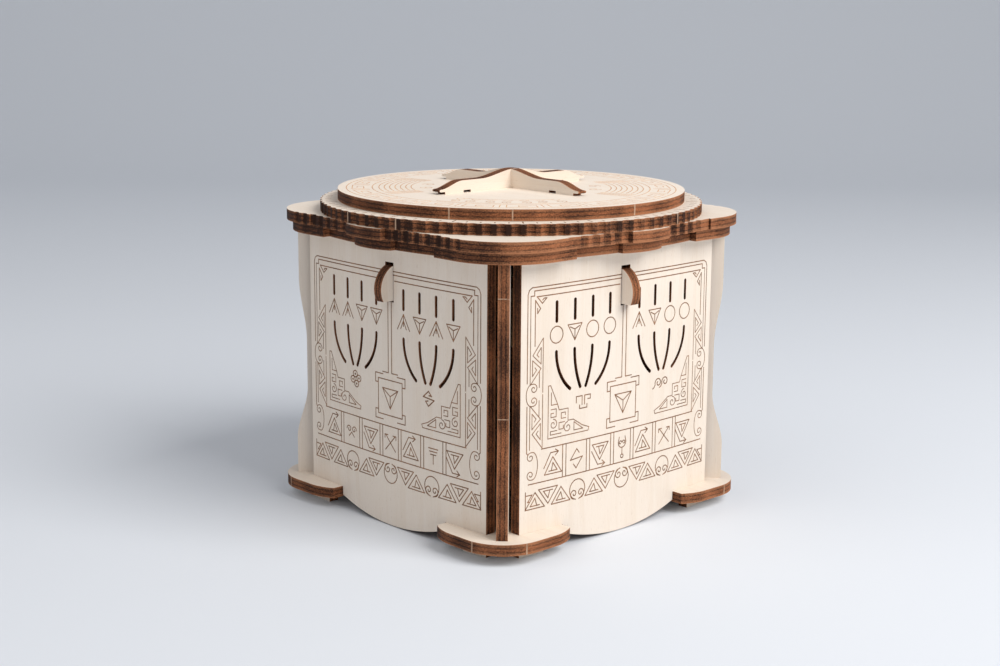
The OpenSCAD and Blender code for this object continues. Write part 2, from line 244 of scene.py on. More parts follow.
def birch_group():
    """Long fine figure of a birch veneer; the grain runs along local X."""
    group, start, end = new_group("Birch veneer", [
        ("Vector", "NodeSocketVector", None),
        ("Pale", "NodeSocketColor", (0.8, 0.7, 0.6, 1)),
        ("Warm", "NodeSocketColor", (0.7, 0.6, 0.4, 1)),
        ("Figure", "NodeSocketFloat", 0.5),
    ], [("Color", "NodeSocketColor"), ("Roughness", "NodeSocketFloat"), ("Height", "NodeSocketFloat")])
    net = Net(group)
    place = start.outputs["Vector"]
    bent = net.math("MULTIPLY", net.noise(net.vector("MULTIPLY", place, (14, 26, 26)), 1.0, 2.0), 0.006)
    wander = net.vector("ADD", place, net.combine(0.0, bent, bent))
    bands = net.noise(net.vector("MULTIPLY", wander, (9, 260, 260)), 1.0, 4.0, 0.6)
    fibres = net.noise(net.vector("MULTIPLY", wander, (60, 2400, 2400)), 1.0, 3.0, 0.65)
    flecks = net.noise(net.vector("MULTIPLY", wander, (420, 3600, 3600)), 1.0, 1.0)
    cloud = net.noise(place, 22.0, 2.0)
    tone = net.ramp(bands, 0.42, 0.66)
    tone = net.math("MULTIPLY", tone, start.outputs["Figure"])
    tone = net.math("MULTIPLY_ADD", net.ramp(fibres, 0.35, 0.75), 0.16, tone)
    tone = net.math("MULTIPLY_ADD", net.math("SUBTRACT", cloud, 0.5), 0.30, tone, clamp=True)
    colour = net.mix(tone, start.outputs["Pale"], start.outputs["Warm"])
    fleck = net.ramp(flecks, 0.66, 0.80, 0.0, 0.30)
    colour = net.mix(fleck, colour, (0.42, 0.28, 0.17, 1))
    net.join(colour, end.inputs["Color"])
    net.join(net.ramp(fibres, 0.2, 0.8, 0.50, 0.66), end.inputs["Roughness"])
    net.join(net.math("MULTIPLY_ADD", flecks, -0.4, fibres), end.inputs["Height"])
    return group


def burnt_group():
    """A laser-cut plywood edge: plies between dark glue lines, speckled char and soft patches of soot, and
    painted shade in the dips of scalloped edges. The sheet's thickness runs along Y."""
    group, start, end = new_group("Burnt ply edge", [
        ("Vector", "NodeSocketVector", None),
        ("Depth", "NodeSocketFloat", 0.5),
        ("Hollow", "NodeSocketFloat", 0.0),
        ("Char", "NodeSocketColor", (0.02, 0.01, 0.005, 1)),
        ("Caramel", "NodeSocketColor", (0.25, 0.1, 0.05, 1)),
        ("Toast", "NodeSocketFloat", 0.5),
    ], [("Color", "NodeSocketColor"), ("Roughness", "NodeSocketFloat"), ("Height", "NodeSocketFloat")])
    net = Net(group)
    place, depth = start.outputs["Vector"], start.outputs["Depth"]
    streaks = net.noise(net.vector("MULTIPLY", place, (260, 2600, 260)), 1.0, 3.0, 0.6)
    speckle = net.noise(net.vector("MULTIPLY", place, (2100, 2900, 2100)), 1.0, 2.0, 0.6)
    soot = net.noise(net.vector("MULTIPLY", place, (85, 45, 85)), 1.0, 2.0, 0.5)
    off_middle = net.math("ABSOLUTE", net.math("SUBTRACT", depth, 0.5))
    core = net.ramp(off_middle, 0.15, 0.21, 1.0, 0.0)
    glue = net.ramp(net.math("ABSOLUTE", net.math("SUBTRACT", off_middle, 0.20)), 0.02, 0.10, 1.0, 0.0)
    arris = net.ramp(off_middle, 0.37, 0.48)
    light = net.ramp(streaks, 0.30, 0.70, 0.28, 0.54)
    light = net.math("ADD", light, net.ramp(speckle, 0.32, 0.68, -0.25, 0.25))
    light = net.math("ADD", light, net.ramp(soot, 0.30, 0.70, -0.20, 0.20))
    light = net.math("MULTIPLY_ADD", core, -0.06, light)
    light = net.math("MULTIPLY_ADD", glue, -0.34, light)
    light = net.math("MULTIPLY_ADD", arris, 0.42, light)
    # Painted shade: the dips of a scalloped edge are darker, by patches
    light = net.math("MULTIPLY_ADD", start.outputs["Hollow"], net.ramp(soot, 0.35, 0.65, -0.48, -0.26), light)
    # Added here: the part's scorch level, plus painted light on edges that face the key light
    light = net.math("ADD", light, start.outputs["Toast"], clamp=True)
    colour = net.mix(net.math("POWER", light, 1.3), start.outputs["Char"], start.outputs["Caramel"])
    colour = net.mix(net.math("MULTIPLY", core, 0.55), colour, (1.0, 0.78, 0.62, 1), "MULTIPLY")
    net.join(colour, end.inputs["Color"])
    net.join(net.ramp(streaks, 0.3, 0.7, 0.66, 0.82), end.inputs["Roughness"])
    net.join(net.math("MULTIPLY_ADD", core, -0.4, speckle), end.inputs["Height"])
    return group


GROUPS = {}


def groups():
    if not GROUPS:
        GROUPS.update(birch=birch_group(), burnt=burnt_group())
    return GROUPS


# ---------------------------------------------------------------- materials

# Turns the veneer's grain upright, and the way an edge faces towards the key light, where painted light makes its
# burnt colour lighter
UPRIGHT = (0, math.radians(90), 0)
KEY_LIGHT_FACING = (0.97, 0.24, 0.0)


def base_material(name):
    material = bpy.data.materials.new(name)
    material.use_nodes = True
    material.node_tree.nodes.clear()
    net = Net(material.node_tree)
    shader = net.node("ShaderNodeBsdfPrincipled")
    out = net.node("ShaderNodeOutputMaterial")
    net.join(shader.outputs[0], out.inputs["Surface"])
    return material, net, shader


def scallop_shade_mask(net, place, kind):
    """Where a scalloped edge dips, to be darkened there with painted shade: round the index ring by angle, along the
    lid plate by distance.
    """
    parts = net.split(place)
    if kind == "ring":
        turns = net.math("DIVIDE", net.math("ARCTAN2", parts["Y"], parts["X"]), 2 * math.pi)
        phase = net.math("FRACT", net.math("MULTIPLY_ADD", turns, RING_TEETH, RING_TEETH + 0.5))
        near = net.math("ABSOLUTE", net.math("SUBTRACT", phase, 0.5))
        return net.ramp(net.math("SUBTRACT", 0.5, near), 0.20, 0.42)
    across, along = (net.math("ABSOLUTE", parts[axis]) for axis in "XY")
    on_side = net.math("GREATER_THAN", across, along)
    run = net.math("MULTIPLY", net.math("MINIMUM", across, along), 1 / MM)
    last = net.math("MULTIPLY_ADD", on_side, LID_RUN_SIDE - LID_RUN_FRONT, LID_RUN_FRONT)
    phase = net.math("FRACT", net.math("MULTIPLY_ADD", net.math("SUBTRACT", run, LID_FIRST), 1 / LID_PITCH, 10.0))
    dip = net.ramp(net.math("ABSOLUTE", net.math("SUBTRACT", phase, 0.5)), 0.14, 0.36)
    inside = net.math("MULTIPLY", net.math("GREATER_THAN", run, LID_FIRST - LID_PITCH / 2),
        net.math("LESS_THAN", run, last))
    return net.math("MULTIPLY", dip, inside)


def standing_sheet(net, where, turn, bow):
    """Place, place for the edge, facing and depth in a sheet that stands facing local -Y after a turn about Z."""
    spin = (0, 0, math.radians(-turn))
    place, facing = (net.mapping(where.outputs[title], spin) for title in ("Object", "Normal"))
    parts = net.split(place)
    if bow:
        square = net.math("MULTIPLY", parts["X"], parts["X"])
        reach = net.math("MULTIPLY_ADD", square, 1 / (2 * BOW_RADIUS * MM), net.math("ABSOLUTE", parts["Y"]))
        depth = net.math("MULTIPLY", net.math("SUBTRACT", reach, (PANEL_FACE - PLY) * MM), 1 / (PLY * MM))
    else:
        depth = net.math("MULTIPLY_ADD", parts["Y"], 1 / (PLY * MM), 0.5)
    return place, place, net.vector("DOT_PRODUCT", facing, (0, 1, 0)), depth


def lying_sheet(net, where, flat_z):
    """The same four for a sheet that lies with its underside at flat_z."""
    place = where.outputs["Object"]
    parts = net.split(place)
    depth = net.math("MULTIPLY", net.math("SUBTRACT", parts["Z"], flat_z * MM), 1 / (PLY * MM))
    edge_place = net.combine(parts["X"], parts["Z"], parts["Y"])
    return place, edge_place, net.vector("DOT_PRODUCT", where.outputs["Normal"], (0, 0, 1)), depth


def sheet_material(name, finish, turn=0.0, flat_z=None, bow=False, grain_up=False, figure=0.45,
                   toast=0.0, tone=1.0, shaded_hollows=None, key_light_lift=0.20):
    """Plywood whose sheet lies flat with its underside at flat_z, or stands with its face towards
    local -Y after a turn about Z. A bowed sheet's plies follow the bend. Its edges carry painted
    light: their burnt colour is lighter the more they face local +X, towards the key light."""
    shared = groups()
    material, net, shader = base_material(name)
    where = net.node("ShaderNodeTexCoord")
    if flat_z is None:
        place, edge_place, facing, depth = standing_sheet(net, where, turn, bow)
    else:
        place, edge_place, facing, depth = lying_sheet(net, where, flat_z)
    # Each piece is cut from its own spot in the veneer
    spot = (0.013 * (len(name) % 7), 0.021 * (sum(map(ord, name)) % 11), 0.0)
    face = net.group(shared["birch"], Vector=net.mapping(place, UPRIGHT if grain_up else (0, 0, 0), spot),
        Pale=rgba(finish.face_pale, tone), Warm=rgba(finish.face_warm, tone), Figure=figure)
    # Painted light: an edge's burnt colour is lightened the more it faces the key light, along local +X
    lean = net.vector("DOT_PRODUCT", where.outputs["Normal"], KEY_LIGHT_FACING)
    edge = net.group(shared["burnt"], Vector=edge_place, Depth=depth,
        Hollow=scallop_shade_mask(net, where.outputs["Object"], shaded_hollows) if shaded_hollows else 0.0,
        Char=rgba(finish.char), Caramel=rgba(finish.caramel), Toast=net.math("MULTIPLY_ADD", lean, key_light_lift, toast))
    is_face = net.ramp(net.math("ABSOLUTE", facing), 0.75, 0.9)
    net.join(net.mix(is_face, edge.outputs["Color"], face.outputs["Color"]), shader.inputs["Base Color"])
    rough, height = (net.between(is_face, edge.outputs[title], face.outputs[title])
        for title in ("Roughness", "Height"))
    net.join(rough, shader.inputs["Roughness"])
    net.bump(height, shader, 0.35, 0.12 * MM)
    shader.inputs["Specular IOR Level"].default_value = 0.22
    return material


def dowel_material(name, finish, upright=True):
    """Round birch stick with its grain along its length."""
    shared = groups()
    material, net, shader = base_material(name)
    where = net.node("ShaderNodeTexCoord")
    grain = net.mapping(where.outputs["Object"], UPRIGHT if upright else (0, 0, 0))
    face = net.group(shared["birch"], Vector=grain, Pale=rgba(finish.dowel), Warm=rgba(finish.dowel, 0.72),
        Figure=0.7)
    net.join(face.outputs["Color"], shader.inputs["Base Color"])
    net.join(face.outputs["Roughness"], shader.inputs["Roughness"])
    net.bump(face.outputs["Height"], shader, 0.3, 0.1 * MM)
    return material


def engraving_material(name, colour):
    """Scorched line: uneven brown, matt."""
    material, net, shader = base_material(name)
    where = net.node("ShaderNodeTexCoord")
    patchy = net.noise(where.outputs["Object"], 420.0, 3.0)
    dots = net.noise(where.outputs["Object"], 2600.0, 1.0)
    light = net.math("MULTIPLY_ADD", net.ramp(dots, 0.4, 0.7), 0.3, net.ramp(patchy, 0.35, 0.70))
    spread = 0.6
    pale = [min(1.0, c * (1 + 2.2 * spread) + 0.02) for c in colour]
    net.join(net.mix(net.math("MULTIPLY", light, spread, clamp=True), rgba(colour), rgba(pale)),
        shader.inputs["Base Color"])
    net.join(net.ramp(dots, 0.3, 0.7, 0.7, 0.9), shader.inputs["Roughness"])
    shader.inputs["Specular IOR Level"].default_value = 0.2
    return material


def nib_material(name):
    """Fresh pale wood where a bridge in the cut was broken off."""
    material, net, shader = base_material(name)
    where = net.node("ShaderNodeTexCoord")
    grain = net.noise(net.vector("MULTIPLY", where.outputs["Object"], (1600, 1600, 300)), 1.0, 2.0)
    net.join(net.mix(net.ramp(grain, 0.35, 0.7), (0.56, 0.38, 0.26, 1), (0.30, 0.17, 0.10, 1)),
        shader.inputs["Base Color"])
    net.join(net.ramp(grain, 0.3, 0.7, 0.6, 0.8), shader.inputs["Roughness"])
    return material


# ---------------------------------------------------------------- pieces and strokes

# An engraved line's bars: how deep they reach into the wood, their greatest length, and how much
# longer than its run a bar is, in line widths, to close the corners
BAR_DEPTH = 0.3
BAR_LONGEST = 12.0
BAR_OVERLAP = 0.8


def polar(degrees, radius, centre=(0, 0)):
    t = math.radians(degrees)
    return (centre[0] + radius * math.cos(t), centre[1] + radius * math.sin(t))


def add_block(mesh, centre, axes):
    """A closed box, in millimetres, spanned by three full-length axes."""
    rows = Matrix(axes).transposed().to_4x4()
    rows.translation = centre
    bmesh.ops.create_cube(mesh, size=1.0, matrix=Matrix.Scale(MM, 4) @ rows)


def new_object(mesh, name, material):
    """Turns the bmesh into an object in the scene."""
    data = bpy.data.meshes.new(name)
    mesh.to_mesh(data)
    mesh.free()
    data.materials.append(material)
    result = bpy.data.objects.new(name, data)
    bpy.context.scene.collection.objects.link(result)
    return result


def add_piece(mesh, name, body, material):
    """Turns the bmesh into a visible piece that rides on a body, in a material slot."""
    piece = new_object(mesh, name, material)
    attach(piece, body)


class Drawing:
    """Engraved lines on a plane of (u, z) or (x, y), laid onto a surface as thin closed bars."""

    def __init__(self, lay, proud):
        self.mesh = bmesh.new()
        self.lay = lay
        self.proud = proud / MM

    def bar(self, a, b, width):
        """One straight bar from a to b, a hair proud of the surface."""
        middle, run = (a + b) / 2, b - a
        if run.length < 1e-6:
            return
        centre, along, out = self.lay(middle, run)
        side = out.cross(along)
        add_block(self.mesh, centre + out * (self.proud - BAR_DEPTH / 2),
            (along * (run.length + width * BAR_OVERLAP), side * width, out * BAR_DEPTH))

    def path(self, points, width, closed=False):
        points = [Vector(p) for p in points]
        if closed:
            points.append(points[0])
        for a, b in zip(points, points[1:]):
            count = max(1, math.ceil((b - a).length / BAR_LONGEST))
            for i in range(count):
                self.bar(a.lerp(b, i / count), a.lerp(b, (i + 1) / count), width)

    def pair(self, points, width, closed=False):
        """A path and its mirror image across the panel's middle."""
        self.path(points, width, closed)
        self.path([(-u, z) for u, z in points], width, closed)

    def arc(self, centre, radius, start, stop, width, steps):
        self.spiral(centre, radius, radius, start, stop - start, width, steps)

    def spiral(self, centre, outer, inner, start, sweep, width, steps):
        shares = [i / steps for i in range(steps + 1)]
        self.path([polar(start + sweep * k, outer + (inner - outer) * k, centre) for k in shares], width)

    def finish(self, name, body, slot, material):
        add_piece(self.mesh, name, body, material)


def panel_surface(turn):
    """Lays (u, z) on the bowed outer face of the panel at a turn about Z."""
    spin = Matrix.Rotation(math.radians(turn), 3, "Z")

    def lay(middle, run):
        lean = math.asin(middle.x / BOW_RADIUS)
        out = Vector((math.sin(lean), -math.cos(lean), 0))
        across = Vector((math.cos(lean), math.sin(lean), 0))
        centre = Vector((0, BOW_RADIUS - PANEL_FACE, 0)) + out * BOW_RADIUS + Vector((0, 0, middle.y))
        along = (across * run.x + Vector((0, 0, 1)) * run.y).normalized()
        return spin @ centre, spin @ along, spin @ out

    return lay


def flat_surface(z):
    """Lays (x, y) on a horizontal face at height z."""
    def lay(middle, run):
        return Vector((middle.x, middle.y, z)), Vector((run.x, run.y, 0)).normalized(), Vector((0, 0, 1))
    return lay


# ---------------------------------------------------------------- engraving figures

# Middle of a group of slots, from the panel's middle, and the pitch of its slots
GROUP_AT = 20.45
PITCH = 8.55

# Heights of the row of marks between the slots and of the mark under a fan
MARK_HEIGHT = 77.0
FAN_MARK_HEIGHT = 51.7

# Marks between the slots, then the one under the fan, in the left and the right group of each panel
FIGURES = {
    "front": (("up", "up", "down", "down", "clover"), ("up", "down", "up", "down", "zigzag")),
    "right": (("ring", "down", "ring", "ring", "hammer"), ("up", "down", "ring", "ring", "wave")),
    "back": (("down", "up", "down", "up", "wave"), ("ring", "up", "up", "ring", "clover")),
    "left": (("down", "ring", "up", "down", "zigzag"), ("ring", "ring", "down", "up", "hammer")),
}


def draw_symbol(d, kind, u, z, w):
    """The small marks between the slots and under each fan of slots."""
    if kind == "ring":
        d.arc((u, z), 2.95, 0, 360, w, 20)
    elif kind in ("up", "down"):
        s = 1 if kind == "up" else -1
        d.path([(u - 3.3, z - 2.75 * s), (u, z + 2.9 * s), (u + 3.3, z - 2.75 * s)], w)
        if kind == "down":
            d.path([(u - 3.3, z + 2.75), (u + 3.3, z + 2.75)], w)
            d.path([(u - 2.2, z + 1.9), (u, z + 0.9), (u + 2.2, z + 1.9)], w)
            d.path([(u, z + 0.9), (u, z - 2.2)], w)
        else:
            d.path([(u - 1.5, z - 2.4), (u, z + 0.6), (u + 1.5, z - 2.4)], w)
            d.path([(u, z + 2.6), (u, z - 1.4)], w)
    elif kind == "clover":
        for k in range(4):
            c = polar(90 * k + 12, 1.85, (u, z))
            d.arc(c, 1.25, 0, 360, w, 12)
            d.arc(c, 0.25, 0, 360, w, 5)
    elif kind == "zigzag":
        d.path([(u + 0.3, z + 1.1), (u + 1.6, z + 1.0), (u, z + 2.6), (u - 2.7, z + 0.3), (u + 2.9, z - 0.3),
            (u, z - 2.8), (u - 1.5, z - 1.2), (u - 0.2, z - 0.9)], w * 1.2)
    elif kind == "hammer":
        d.path([(u - 3.4, z - 0.3), (u - 3.4, z + 1.9), (u - 0.6, z + 1.9), (u - 0.6, z - 1.3)], w)
        d.path([(u + 3.4, z + 0.4), (u + 3.4, z + 1.9), (u + 0.6, z + 1.9), (u + 0.6, z - 1.3)], w)
        d.path([(u + 3.4, z + 0.4), (u + 2.2, z + 0.4)], w)
        d.path([(u - 1.8, z - 1.3), (u - 1.8, z - 2.6), (u + 1.8, z - 2.6), (u + 1.8, z - 1.3)], w)
    elif kind == "wave":
        for s in (-1, 1):
            c = u + s * 1.9
            d.spiral((c + 0.3, z + 0.3), 1.9, 0.5, 200, -430, w * 1.1, 18)
            d.path([(c - 2.8, z - 1.6), (c - 2.0, z - 1.2), (c - 1.5, z - 0.3)], w * 1.1)


def draw_slot_marks(d, side, w):
    """The marks of both groups of slots on one panel."""
    for s, marks in zip((-1, 1), FIGURES[side]):
        for i, kind in enumerate(marks[:4]):
            draw_symbol(d, kind, s * GROUP_AT + (i - 1.5) * PITCH, MARK_HEIGHT, w)
        draw_symbol(d, marks[4], s * GROUP_AT + 0.3, FAN_MARK_HEIGHT, w)


def draw_frame(d, w):
    """Double frame with notched corners, a top rail that ends in small triangles, and a middle rule."""
    d.pair([(46.3, 61.6), (46.3, 92.2), (45.7, 93.7), (44.4, 94.5), (1.5, 94.6)], w)
    d.pair([(46.3, 53.4), (46.3, 37.0), (45.7, 36.4)], w)
    d.pair([(45.0, 91.6), (43.4, 91.6), (43.4, 93.3), (1.5, 93.3)], w)
    d.pair([(2.9, 91.2), (42.3, 91.2), (39.9, 88.7), (37.9, 90.4), (39.2, 90.4), (39.8, 89.8)], w)
    d.pair([(43.0, 74.2), (43.0, 90.0), (40.7, 87.0), (42.0, 85.4), (42.0, 87.2)], w)
    d.pair([(0.95, 83.2), (0.95, 57.3), (4.2, 57.3)], w)


# Height of the middle square's own middle, and of the line that the side bands are mirrored about
SQUARE_MIDDLE = 48.0
SIDE_BAND_MIDDLE = 57.2


def draw_square(d, w):
    """The middle square: brackets outside, a nested down triangle inside."""
    low, top = SQUARE_MIDDLE - 6.5, SQUARE_MIDDLE + 6.6
    for s in (-1, 1):
        inner, outer = SQUARE_MIDDLE + s * 5.0, SQUARE_MIDDLE + s * 8.4
        d.pair([(6.8, inner), (8.3, inner), (8.3, outer), (4.0, outer)], w)
    d.path([(-6.7, low), (6.7, low), (6.7, top), (-6.7, top)], w, closed=True)
    d.path([(-4.3, 51.3), (4.3, 51.3), (0, 44.0)], w, closed=True)
    d.path([(-4.3, 51.3), (0, 48.6), (4.3, 51.3)], w)
    d.path([(0, 48.6), (0, 44.6)], w)


def draw_side_band(d, w):
    """Hooked triangles up each side, mirrored about a C scroll, and a second scroll at the foot."""
    for up, end in ((1, 91.6), (-1, 76.4)):
        for points in (
            [(45.0, end), (45.0, 60.8), (40.2, 66.1), (44.0, 69.3), (44.0, 63.8), (42.2, 65.8), (42.9, 66.7)],
            [(39.3, 57.6), (39.3, 76.6), (43.9, 71.0), (40.2, 67.7), (40.2, 73.4), (42.1, 71.1), (41.2, 70.2)],
            [(40.9, 65.2), (40.9, 59.5)],
        ):
            d.pair([(u, SIDE_BAND_MIDDLE + up * (z - SIDE_BAND_MIDDLE)) for u, z in points], w)
    draw_c_scrolls(d, (44.3, SIDE_BAND_MIDDLE), (3.9, 2.4), 1, w)
    draw_c_scrolls(d, (43.6, 32.1), (4.9, 2.3), -1, w)


def draw_c_scrolls(d, centre, reach, bulge, w):
    """A C on each side, its back towards the panel's edge (bulge 1) or away from it (-1), its ends two spirals."""
    (u, z), (tall, wide) = centre, reach
    turns = [math.radians(a) for a in range(-90, 91, 15)]
    d.pair([(u + bulge * wide * math.cos(t), z + tall * math.sin(t)) for t in turns], w)
    for v in (1, -1):
        d.pair([(u, z + v * tall), (u - bulge * 0.9, z + v * tall)], w)
        for side in (1, -1):
            hub = (side * (u - bulge * 0.9), z + v * (tall - 1.75))
            d.spiral(hub, 1.75, 0.35, 90 * v, v * bulge * side * 430, w, 16)


def draw_corner(d, w):
    """Stepped, fretted corner ornament inside each lower corner."""
    d.pair([(36.7, 59.4), (35.7, 59.4), (32.4, 52.4), (35.3, 52.4), (35.3, 56.8)], w)
    d.pair([(36.7, 59.4), (36.7, 40.6), (17.6, 40.6), (17.2, 41.8), (20.4, 43.0), (24.9, 45.8), (27.4, 45.8),
        (27.4, 50.2), (31.6, 50.2), (32.4, 52.4)], w)
    d.pair([(28.5, 47.0), (30.6, 47.0), (30.6, 49.0), (28.7, 49.0), (28.7, 48.0)], w)
    d.pair([(35.4, 50.8), (33.0, 50.8), (33.0, 48.0), (35.4, 48.0), (35.4, 49.4), (34.2, 49.4)], w)
    d.pair([(29.0, 45.6), (31.6, 45.6), (31.6, 43.2), (29.6, 43.2), (29.6, 44.4)], w)
    d.pair([(24.5, 44.8), (24.5, 41.8), (20.2, 41.8)], w, closed=True)
    d.pair([(30.6, 41.8), (35.6, 41.8), (35.6, 43.0), (32.6, 43.0)], w)
    for side in (1, -1):
        d.spiral((side * 27.5, 43.4), 2.0, 0.4, 90, -side * 450, w, 16)
        d.spiral((side * 34.3, 45.4), 1.9, 0.4, 90, side * 450, w, 16)


# Bounds of the cells in the row, and the glyphs in its narrow cells
CELLS = (-39.3, -28.9, -17.4, -5.2, 5.2, 17.4, 28.9, 39.3)
GLYPHS = {
    "front": ("spirals", "crossed", "stack"),
    "right": ("bolt", "fork", "crossed"),
    "back": ("stack", "bolt", "spirals"),
    "left": ("crossed", "fork", "bolt"),
}


def draw_glyph(d, kind, u, z, w):
    """The small figures in the narrow cells."""
    if kind == "fork":
        d.arc((u, z + 1.8), 2.0, 180, 360, w, 8)
        for s in (-1, 1):
            d.path([(u + s * 2.0, z + 1.8), (u + s * 1.5, z + 3.8)], w)
            d.spiral((u + s * 0.9, z + 1.6), 0.9, 0.3, 90 + s * 90, -s * 300, w, 8)
        d.path([(u, z - 0.2), (u, z - 2.7)], w)
        d.arc((u, z - 3.4), 0.7, 0, 360, w, 8)
    elif kind == "spirals":
        for s in (-1, 1):
            d.spiral((u + s * 1.5, z + 0.5), 1.45, 0.35, 90 - s * 90, s * 400, w, 14)
        d.path([(u - 1.6, z - 2.2), (u, z - 0.6), (u + 1.6, z - 2.2)], w)
    elif kind == "stack":
        for k in range(3):
            d.path([(u - 2.4 + 0.5 * k, z + 2.6 - 1.1 * k), (u + 2.4 - 0.5 * k, z + 2.6 - 1.1 * k)], w)
        d.path([(u, z + 0.4), (u, z - 3.0)], w)
    elif kind == "crossed":
        d.path([(u - 2.8, z - 2.8), (u + 2.6, z + 2.8)], w)
        d.path([(u + 2.8, z - 2.8), (u - 2.6, z + 2.8)], w)
        for s in (-1, 1):
            d.path([(u + s * 1.4, z + 2.9), (u + s * 3.1, z + 2.9), (u + s * 3.1, z + 1.6)], w)
    else:
        d.path([(u + 1.4, z + 1.9), (u + 0.2, z + 3.5), (u - 2.8, z - 0.3), (u + 3.0, z + 0.3), (u, z - 3.5),
            (u - 1.3, z - 1.9)], w)


def draw_cells(d, side, w):
    """A row of cells: arrowed triangles by turns with small glyphs."""
    top, low = 37.5, 25.7
    d.path([(-39.6, top), (39.6, top)], w)
    d.path([(-45.4, low), (45.4, low)], w)
    for u in CELLS[1:-1]:
        d.path([(u - 0.8, top), (u - 0.8, low)], w)
        d.path([(u + 0.8, top), (u + 0.8, low)], w)
    glyphs = iter(GLYPHS[side])
    for i, (a, b) in enumerate(zip(CELLS, CELLS[1:])):
        u, z = (a + b) / 2, 31.3
        if i % 2:
            draw_glyph(d, next(glyphs), u, z, w)
            continue
        # The triangles point up and down by turns, the other way round on the back and the left
        s = 1 if (i // 2 + (side in ("back", "left"))) % 2 == 0 else -1
        outline = [(u - 4.0, z - 3.4 * s), (u + 4.0, z - 3.4 * s), (u - 0.2, z + 2.6 * s)]
        draw_hooked(d, outline, w)
        d.path([(u - 4.3, z - 1.0 * s), (u - 1.2, z + 4.2 * s), (u + 2.0, z + 4.2 * s)], w)
        d.path([(u + 1.0, z + 5.1 * s), (u + 2.4, z + 4.2 * s), (u + 1.0, z + 3.0 * s)], w)


def draw_hooked(d, points, w):
    """A triangle with a smaller one inside, left open like a hook."""
    points = [Vector(p) for p in points]
    middle = sum(points, Vector((0, 0))) / 3
    d.path(points, w, closed=True)
    inner = [middle.lerp(p, 0.48) for p in points]
    d.path([inner[0], inner[1], inner[2], inner[0].lerp(inner[1], 0.3)], w)


def draw_frieze(d, w):
    """The lowest band: round scrolls with runs of hooked triangles between them."""
    top, low, half = 23.1, 16.7, 4.4
    for c, s in ((8.3, -1), (14.2, 1), (30.3, 1), (36.3, -1), (42.3, 1)):
        base, apex = (low, top - 0.7) if s > 0 else (top, low + 0.7)
        for side in (1, -1):
            draw_hooked(d, [(side * (c - half), base), (side * (c + half), base), (side * c, apex)], w)
    d.pair([(46.6, low), (46.6, top)], w)
    d.pair([(46.2, 21.8), (43.6, 21.8), (45.6, 19.4), (44.6, 19.4)], w)
    for u, s in ((0, -1), (-22.4, 1), (22.4, 1)):
        draw_round_scroll(d, (u, (top + low) / 2), w, s)


def draw_round_scroll(d, centre, w, s):
    """A ring whose open ends curl into two small spirals: at the bottom where s is 1, else at the top."""
    x, z = centre
    d.arc(centre, 3.7, -78 * s, 258 * s, w, 22)
    for v in (-1, 1):
        d.spiral((x + v * 1.6, z - s * 1.5), 1.9, 0.3, -90 * s, v * s * 450, w, 18)


# ---------------------------------------------------------------- operators

# Links in the dial's fret, and marks round each wheel
FRET_LINKS = 24
WHEEL_MARKS = 16


def settings(context):
    return context.scene.puzzle_finish, context.scene.puzzle_engraving, context.scene.puzzle_stage


class PUZZLE_OT_plywood(Operator):
    """Give every cut sheet its birch faces and burnt edges, and every dowel its grain"""

    bl_idname = "puzzle.plywood"
    bl_label = "Finish the plywood"

    def execute(self, context):
        finish, _, _ = settings(context)
        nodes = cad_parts
        done = set()

        def dress(node, material):
            mesh = nodes[node].data
            mesh.materials.clear()
            mesh.materials.append(material)
            done.add(node)

        for side, turn in SIDES.items():
            dress(side + "_panel", sheet_material(side + " panel birch", finish, turn, bow=True, figure=0.22,
                toast=-0.05, tone=0.99, grain_up=True))
            dress(side + "_latch", sheet_material(side + " latch ply", finish, turn + 90, grain_up=True,
                toast=0.10, tone=1.04))
            dress(side + "_latch_bracket", sheet_material(side + " bracket ply", finish, turn + 90, figure=0.5))
            dress(side + "_latch_pin", dowel_material(side + " pin birch", finish, upright=False))
        for corner, angle in POSTS.items():
            dress(corner + "_post", sheet_material(corner + " post ply", finish, angle, grain_up=True,
                figure=0.25, toast=0.05, tone=0.97))
        # Painted light: some of these set how much the burnt edges that face the key light are lightened
        flat = {
            "base_plate": dict(figure=0.25, toast=0.12, key_light_lift=0.26),
            "rim_frame": dict(figure=0.25, key_light_lift=0.38),
            "lid_plate": dict(figure=0.20, tone=1.05, shaded_hollows="lid", key_light_lift=0.42),
            "ring_hub": dict(figure=0.4),
            "keeper_plate": dict(figure=0.5),
            "cage_plate": dict(figure=0.5),
            "dial_disc": dict(figure=0.12, toast=0.16, tone=1.12, key_light_lift=0.14),
            "drive_cam": dict(figure=0.5),
            "index_ring": dict(figure=0.20, toast=-0.02, tone=1.03, shaded_hollows="ring", key_light_lift=0.28),
            "wheel_1": dict(figure=0.5),
            "wheel_2": dict(figure=0.5),
            "wheel_3": dict(figure=0.5),
        }
        for node, looks in flat.items():
            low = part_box(node)[0].z / MM
            dress(node, sheet_material(node.replace("_", " ") + " ply", finish, flat_z=low, **looks))
        for axis, turn in (("x", 0), ("y", 90)):
            dress("handle_blade_" + axis, sheet_material("handle blade %s ply" % axis, finish, turn, figure=0.16,
                toast=0.10))
        stick = dowel_material("dowel birch", finish)
        for node in nodes:
            if node not in done:
                dress(node, stick)
        return {"FINISHED"}


class PUZZLE_OT_panel_engraving(Operator):
    """Engrave the frames, figures and friezes on the four bowed panels"""

    bl_idname = "puzzle.panel_engraving"
    bl_label = "Engrave the panels"

    def execute(self, context):
        finish, engraving, _ = settings(context)
        ink = engraving_material("panel engraving", finish.engraving)
        w, f = engraving.line / MM, engraving.fine / MM
        for side, turn in SIDES.items():
            d = Drawing(panel_surface(turn), engraving.proud)
            draw_frame(d, w)
            draw_square(d, w)
            draw_slot_marks(d, side, w)
            draw_side_band(d, f)
            draw_corner(d, f)
            draw_cells(d, side, w)
            draw_frieze(d, w)
            d.finish(side + "_panel_engraving", "case", "case_ply", ink)
        return {"FINISHED"}


